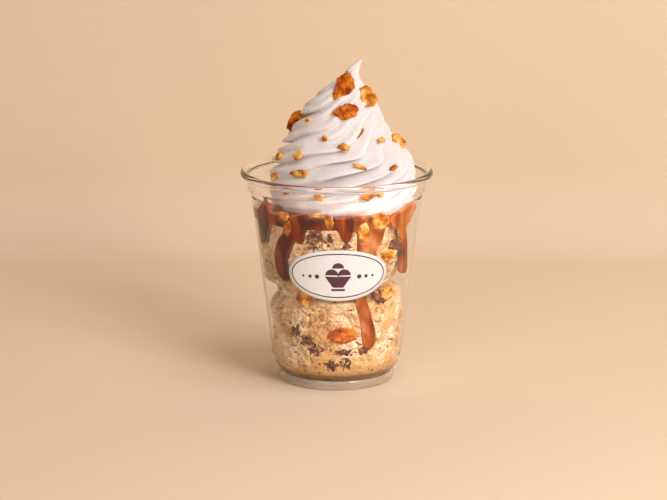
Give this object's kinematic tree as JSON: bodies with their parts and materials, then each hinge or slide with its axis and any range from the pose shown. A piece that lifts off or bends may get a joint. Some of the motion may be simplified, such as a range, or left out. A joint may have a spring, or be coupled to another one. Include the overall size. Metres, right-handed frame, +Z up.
{
  "type": "ice cream sundae",
  "caption": "Ice cream sundae in a clear tapered tumbler: two scoops, a dripping caramel layer, a piped cream swirl and broken caramelised biscuit.",
  "frame": {"origin": "middle of the cup's foot where it stands, under the middle of the rim", "axes": "+Z up along the cup's axis, -Y towards the side with the sticker, +X to the right seen from that side"},
  "size_m": [0.098, 0.098, 0.165],
  "materials": {
    "clear_plastic": "clear moulded",
    "sticker": "smooth coated paper",
    "ice_cream": "crumbly frozen",
    "caramel": "sticky gloss",
    "whipped_cream": "soft satin",
    "biscuit": "broken and baked"
  },
  "bodies": {
    "root": {"cup": "clear_plastic", "sticker": "sticker", "ice_cream_lower": "ice_cream", "ice_cream_upper": "ice_cream", "caramel_sauce": "caramel", "whipped_cream": "whipped_cream", "biscuit_top": "biscuit", "biscuit_below_top": "biscuit", "biscuit_high_right": "biscuit", "biscuit_high_left": "biscuit", "biscuit_low_right": "biscuit", "biscuit_beside_hook": "biscuit", "biscuit_under_hook": "biscuit", "biscuit_front": "biscuit", "biscuit_in_long_drip": "biscuit", "biscuit_large": "biscuit", "biscuit_right": "biscuit", "biscuit_under_sticker": "biscuit", "biscuit_pale": "biscuit", "biscuit_amber": "biscuit"}
  },
  "joints": []
}
